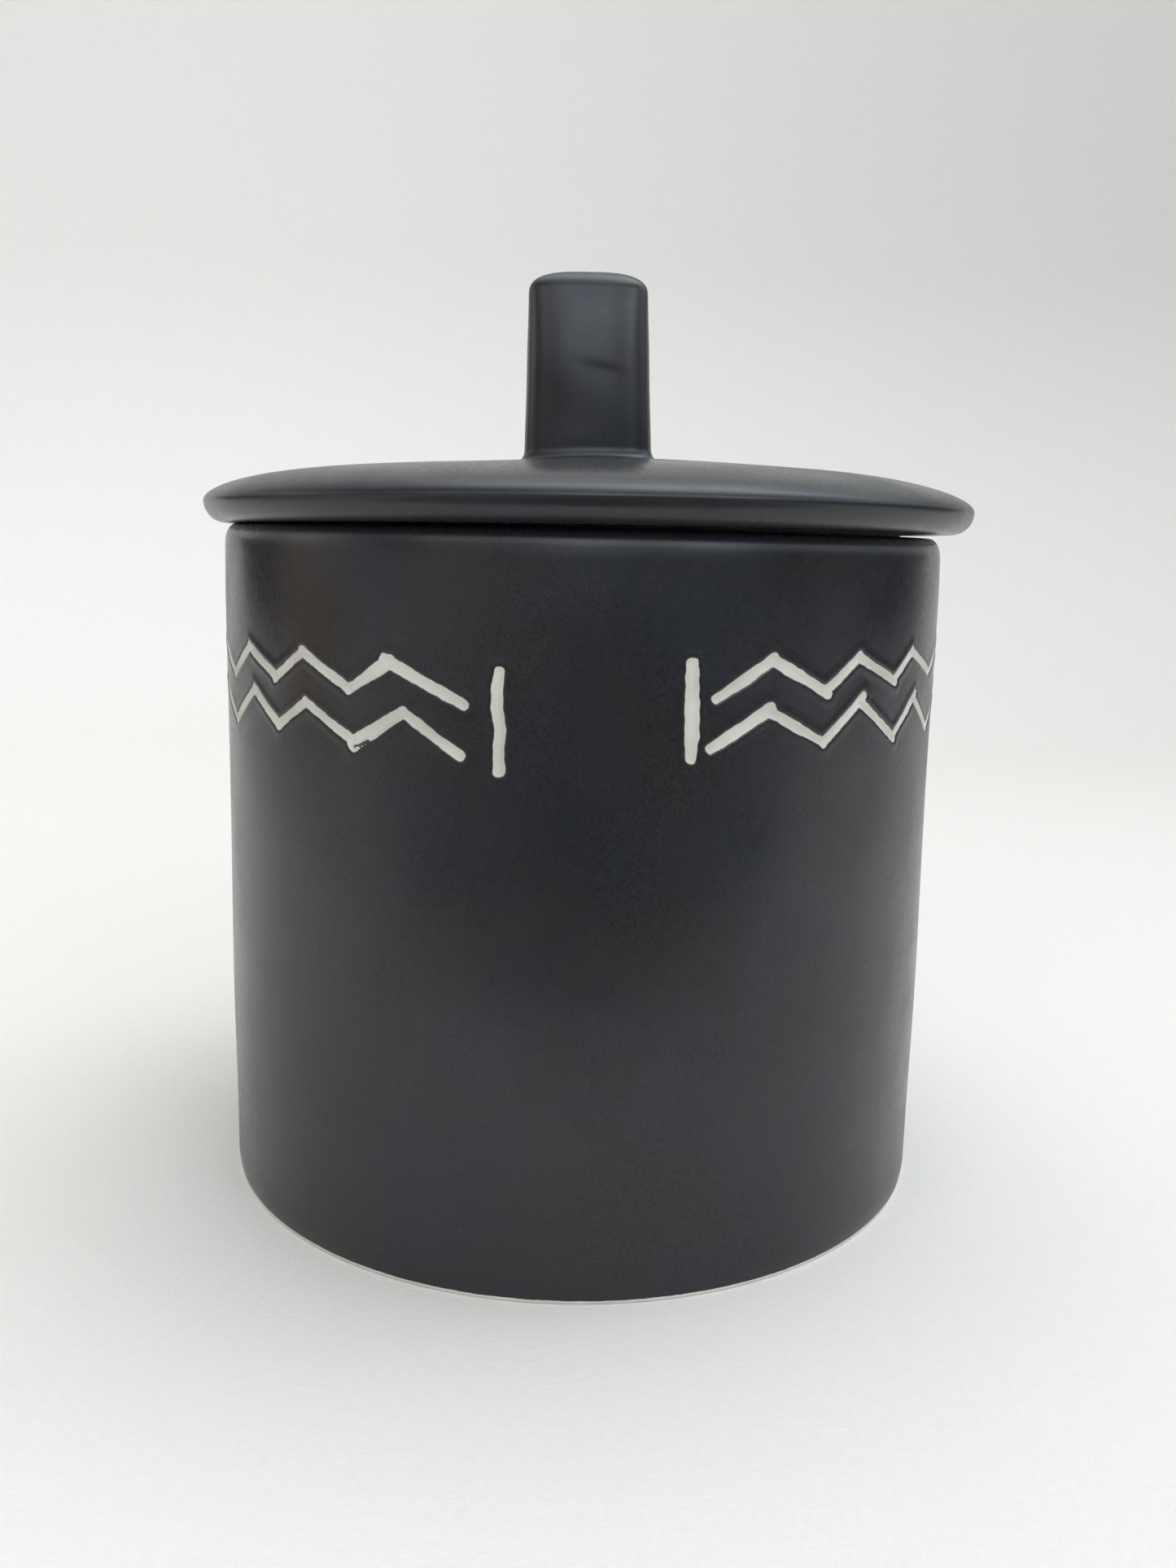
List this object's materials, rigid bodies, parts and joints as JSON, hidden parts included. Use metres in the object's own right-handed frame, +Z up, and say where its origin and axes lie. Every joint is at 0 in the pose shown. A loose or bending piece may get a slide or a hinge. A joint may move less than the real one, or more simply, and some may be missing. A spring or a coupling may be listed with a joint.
{
  "type": "sugar bowl",
  "caption": "Straight-sided lidded sugar bowl in satin charcoal stoneware with a cream incised zigzag band, an overhanging low domed lid and an upright flat tab knob.",
  "frame": {"origin": "middle of the bowl's foot, on the surface it stands on", "axes": "+Z up along the bowl's axis, which is also the way the lid lifts; the broad faces of the knob look towards -Y and +Y, and the plain gap in the incised band looks towards -Y"},
  "size_m": [0.1022, 0.1022, 0.1213],
  "materials": {
    "charcoal_glaze": "satin",
    "bare_clay": "matte"
  },
  "bodies": {
    "bowl": {"bowl": "charcoal_glaze"},
    "lid": {"lid_disc": "charcoal_glaze", "lid_locating_ring": "bare_clay", "lid_knob": "charcoal_glaze"}
  },
  "joints": [
    {"name": "lid_lift", "type": "slide", "parent": "bowl", "child": "lid", "axis": [0, 0, 1], "range_m": [0, 0.12]}
  ]
}
